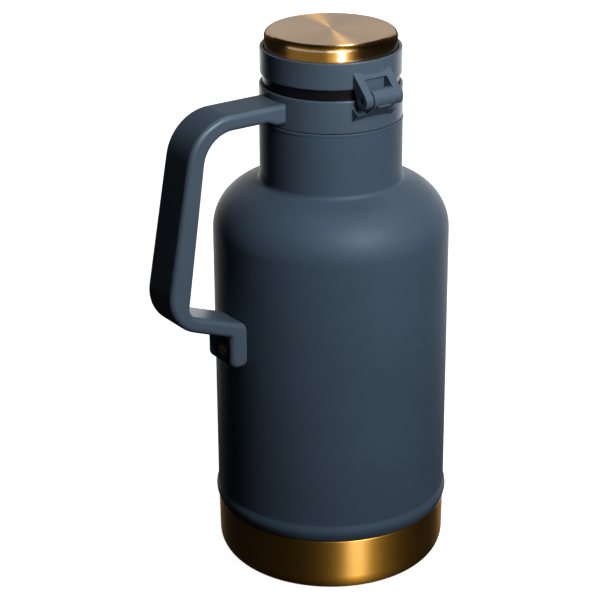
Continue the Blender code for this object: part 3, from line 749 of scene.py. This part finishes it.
def handle_screw():
    """Pan head with a six-pointed recess."""
    radius = SCREW_HIGH.y
    top, seat, tip = -SCREW_LOW.x, 69.7, -SCREW_HIGH.x
    outline = rounded([
        (0, top), (radius, top, 0.6), (radius, seat, 0.2), (1.8, seat), (1.8, tip, 0.3), (0, tip),
    ])
    turn = Matrix.Translation((0, 0, SCREW_Z)) @ Matrix.Rotation(-math.pi / 2, 4, "Y")
    head = turned("screw", outline, 64, matrix=turn)
    star = [
        (radius * (0.40 + 0.12 * math.cos(6 * a)) * math.cos(a),
         radius * (0.40 + 0.12 * math.cos(6 * a)) * math.sin(a))
        for a in (math.tau * k / 72 for k in range(72))
    ]
    drive = plate("drive", star, 1.0, Matrix.Translation((-top, 0, SCREW_Z)) @ ACROSS_HANDLE)
    cut(head, drive)
    show(head, GOLD_SCREW, "bottle", "gold_steel", "handle_screw")


# Lid


def hinge_ring():
    """Ring that holds the cap, with a sloping bracket, two ears and an apron in the window."""
    obj = turned("ring", rounded([
        (0, RING_HIGH.z),
        (RING_R, RING_HIGH.z, 0.6),
        (RING_R, RING_BOTTOM + 0.8, 0.3),
        (RING_R - 0.6, RING_BOTTOM, 0.3),
        (0, RING_BOTTOM),
    ], step=15), 180)
    deep, ear_r, outside, inside = 33.0, 4.4, 11.6, 7.1
    corner, axis = Vector((34.9, 287.5)), Vector((HINGE_R, HINGE_Z))
    reach = axis - corner
    slope = math.atan2(reach.y, reach.x) + math.asin(ear_r / reach.length)
    bracket = plate("bracket", [
        (deep, corner.y - (corner.x - deep) * math.tan(slope)),
        *arc(axis, ear_r, math.degrees(slope) + 90, -168, 40),
        (37.2, 276.0),
        (36.3, 278.0),
        (36.3, 278.7),
        (deep, 278.7),
    ], outside, TO_HINGE)
    window = block("window", (-inside, -60, 260), (inside, -30, 283.7))
    cut(bracket, window)
    bore = CAP_R + 0.4
    room = turned("room", rounded([
        (0, 296),
        (bore + 0.6, 296),
        (bore + 0.6, RING_HIGH.z),
        (bore, RING_HIGH.z - 0.6),
        (bore, 282.4),
        (32.6, 282.4),
        (32.6, 281.2),
        (36.1, 281.2),
        (36.1, 276),
        (0, 276),
    ]), 180)
    spread = math.degrees(math.asin(inside / RING_R)) + 0.5
    apron = plate("apron", [
        *arc((0, 0), RING_R - 0.05, 270 - spread, 270 + spread, 12),
        *arc((0, 0), 36.5, 270 + spread, 270 - spread, 12),
    ], 1.4, Matrix.Translation((0, 0, RING_BOTTOM - 0.2)))
    join(obj, bracket, apron)
    cut(obj, room, hinge_hole(1.6))
    soften(obj, 0.3)
    show(obj, SMOOTH_SLATE, "lid_ring", "slate_plastic", "hinge_ring")


def cap_shell():
    """Drawn metal drum with a rounded rim."""
    edge, wall = 3.4, 0.8
    outline = rounded([
        (0, CAP_HIGH.z),
        (CAP_R, CAP_HIGH.z, edge),
        (CAP_R, CAP_LOW.z, 0.25),
        (CAP_R - wall, CAP_LOW.z, 0.25),
        (CAP_R - wall, CAP_HIGH.z - wall, edge - wall),
        (0, CAP_HIGH.z - wall),
    ], step=5)
    show(turned("cap_top", outline, 256), GOLD_CAP, "cap", "gold_steel", "cap_shell")


def cap_body():
    """Black moulding: flange, gasket groove and the hollow plug with its thread lugs."""
    top, flange, plug, tip, wall = PLUG_HIGH.z, 35.8, 27.6, 25.5, 1.8
    under = MOUTH_Z + 3.0
    outline = rounded([
        (0, top),
        (flange, top, 0.3),
        (flange, under, 0.3),
        (35.1, under),
        (35.1, under + 1.8),
        (31.3, under + 1.8),
        (31.3, under),
        (plug, under, 0.6),
        (plug, 262, 3),
        (tip, PLUG_LOW.z, 0.5),
        (tip - wall, PLUG_LOW.z, 0.3),
        (plug - wall, 262),
        (plug - wall, top - 2.4),
        (0, top - 2.4),
    ])
    obj = turned("plug", outline, 160)
    lugs = thirds(lambda turn: thread_lug("lug", 26.7, 29.8, 264.45, turn + math.pi / 2))
    join(obj, *lugs)
    show(obj, BLACK, "cap", "black_plastic", "cap_body")


def plug_base():
    """Disc that closes the plug, with a raised rim."""
    radius, top, low = BASE_HIGH.x, BASE_HIGH.z, BASE_LOW.z
    outline = rounded([
        (0, top), (radius, top), (radius, low, 0.3), (radius - 2.4, low, 0.3),
        (radius - 3.0, low + 0.6, 0.3), (0, low + 0.6),
    ])
    show(turned("plug_end", outline, 128), BLACK, "cap", "black_plastic", "plug_base")


def cap_gasket():
    """Flat ring in the cap's groove, rounded where it meets the mouth."""
    outline = rounded([
        (34.8, GASKET_HIGH.z),
        (34.8, GASKET_LOW.z, 0.7),
        (31.6, GASKET_LOW.z, 0.7),
        (31.6, GASKET_HIGH.z),
    ], closed=True)
    gasket = turned("gasket", outline, 160, closed=True)
    show(gasket, SILICONE, "cap", "silicone", "cap_gasket")


# Stage, in metres and watts

VIEW_AZIMUTH = -35.6
ROOM_LIGHT = 0.008
PALE = 0.99
FLOOR_GLOW = 0.95
FLOOR_HALF = 20000


def camera():
    """The photograph's view: a long lens above the front left."""
    data = bpy.data.cameras.new("camera")
    data.lens = 119.93
    data.sensor_width = 36
    data.shift_x = -0.0515
    data.clip_end = 50
    obj = bpy.data.objects.new("camera", data)
    obj.location = (-0.58695, -0.81985, 0.573)
    obj.rotation_euler = (math.radians(67.155), 0, math.radians(VIEW_AZIMUTH))
    bpy.context.scene.collection.objects.link(obj)
    bpy.context.scene.camera = obj


def panel(name, azimuth, elevation, distance, width, height, power, aim):
    """A soft box that faces the bottle's axis at the height aim, hidden from the camera.

    Its azimuth is counted from the photograph's view.
    """
    data = bpy.data.lights.new(name, "AREA")
    data.shape = "RECTANGLE"
    data.size = width
    data.size_y = height
    data.energy = power
    obj = bpy.data.objects.new(name, data)
    a, e = math.radians(VIEW_AZIMUTH + azimuth), math.radians(elevation)
    back = Vector((math.sin(a) * math.cos(e), -math.cos(a) * math.cos(e), math.sin(e)))
    obj.location = back * distance + Vector((0, 0, aim))
    obj.rotation_euler = (-back).to_track_quat("-Z", "Y").to_euler()
    obj.visible_camera = False
    bpy.context.scene.collection.objects.link(obj)
    return obj


def floor():
    """Plain pale floor that glows and takes no part in the object's lighting."""
    bm = bmesh.new()
    bmesh.ops.create_grid(bm, x_segments=1, y_segments=1, size=FLOOR_HALF)
    obj = make("floor", bm)
    look = bpy.data.materials.new("floor")
    look.use_nodes = True
    shader = look.node_tree.nodes["Principled BSDF"]
    shader.inputs["Base Color"].default_value = (0.8, 0.8, 0.8, 1)
    shader.inputs["Roughness"].default_value = 0.9
    shader.inputs["Specular IOR Level"].default_value = 0
    shader.inputs["Emission Color"].default_value = (1, 1, 1, 1)
    shader.inputs["Emission Strength"].default_value = FLOOR_GLOW
    obj.data.materials.append(look)
    obj.visible_glossy = False
    obj.visible_diffuse = False
    obj.visible_shadow = False


def world():
    """Pale surroundings for the camera, and a dim room for everything else."""
    made = bpy.data.worlds.new("world")
    made.use_nodes = True
    tree = made.node_tree
    pale = tree.nodes["Background"]
    pale.inputs["Color"].default_value = (PALE, PALE, PALE, 1)
    dim = tree.nodes.new("ShaderNodeBackground")
    dim.inputs["Color"].default_value = (1, 1, 1, 1)
    dim.inputs["Strength"].default_value = ROOM_LIGHT
    rays = tree.nodes.new("ShaderNodeLightPath")
    mix = tree.nodes.new("ShaderNodeMixShader")
    tree.links.new(rays.outputs["Is Camera Ray"], mix.inputs["Fac"])
    tree.links.new(dim.outputs[0], mix.inputs[1])
    tree.links.new(pale.outputs[0], mix.inputs[2])
    tree.links.new(mix.outputs[0], tree.nodes["World Output"].inputs["Surface"])
    bpy.context.scene.world = made


def link_light(lamp, state, *names):
    """Keeps a lamp's light to some pieces (INCLUDE) or off them (EXCLUDE)."""
    group = bpy.data.collections.new(lamp.name + " receivers")
    for name in names:
        group.objects.link(bpy.data.objects[name])
    for member in group.collection_objects:
        member.light_linking.link_state = state
    lamp.light_linking.receiver_collection = group


def lights():
    """Soft boxes: shared ones round the bottle, and others for the cap, the grip and the cup.

    Each line gives azimuth, elevation, distance, width, height, power and aim.
    """
    front_right = panel("key", 34, 34, 0.62, 0.2, 0.28, 4.0, 0.24)
    panel("fill", 24, 16, 1.4, 0.9, 0.9, 1.2, 0.2)
    overhead = panel("overhead", 110, 73, 0.6, 0.22, 0.22, 0.75, 0.29)
    back = panel("back", 180, -5, 1.3, 1.0, 0.8, 5.0, 0.15)
    back_left = panel("back left", -155, -5, 1.3, 0.6, 0.9, 3.0, 0.15)
    back_right = panel("back right", 150, -5, 1.3, 0.8, 0.9, 4.0, 0.15)
    for lamp in (front_right, overhead, back, back_left, back_right):
        link_light(lamp, "EXCLUDE", "cap_top")
    rim = panel("rim", 180, 22, 1.3, 2.2, 0.7, 2.4, 0.2)
    rim.visible_diffuse = False
    link_light(rim, "EXCLUDE", "cap_top", "grip", "cup")
    cap_back = panel("cap back", 180, 20, 1.3, 1.6, 0.7, 1.5, 0.28)
    cap_spark = panel("cap spark", 171.6, 50, 0.9, 0.05, 0.05, 1.4, 0.3)
    cap_strip = panel("cap strip", 18, -5, 1.0, 0.13, 0.6, 4.2, 0.29)
    cap_glow = panel("cap glow", 14, 5, 1.0, 0.7, 0.6, 3.0, 0.29)
    cap_left = panel("cap left", -42, 5, 1.0, 1.4, 0.6, 1.8, 0.29)
    for lamp in (cap_back, cap_spark, cap_strip, cap_glow, cap_left):
        link_light(lamp, "INCLUDE", "cap_top")
    grip_spark = panel("grip spark", -4, 40, 1.0, 0.1, 0.1, 2.6, 0.25)
    grip_spark.visible_diffuse = False
    link_light(grip_spark, "INCLUDE", "grip")
    foot_strip = panel("foot strip", 25, -20, 1.0, 0.26, 0.5, 1.5, 0.1)
    link_light(foot_strip, "INCLUDE", "cup")


outer_shell()
inner_vessel()
base_cup()
collar()
hinge_pin()
handle()
handle_screw()
hinge_ring()
cap_shell()
cap_body()
plug_base()
cap_gasket()
for steel_node in ("base_plate", "vacuum_seal", "getter", "handle_bracket", "saddle_screw_lower",
                   "saddle_screw_upper", "cap_screw_1", "cap_screw_2", "cap_screw_3"):
    keep(steel_node, STEEL)
keep("cap_core", BLACK)
keep("slip_washer", SILICONE)
keep("plug_insulation", FOAM)

camera()
world()
floor()
lights()
bpy.context.scene.view_settings.view_transform = "Standard"
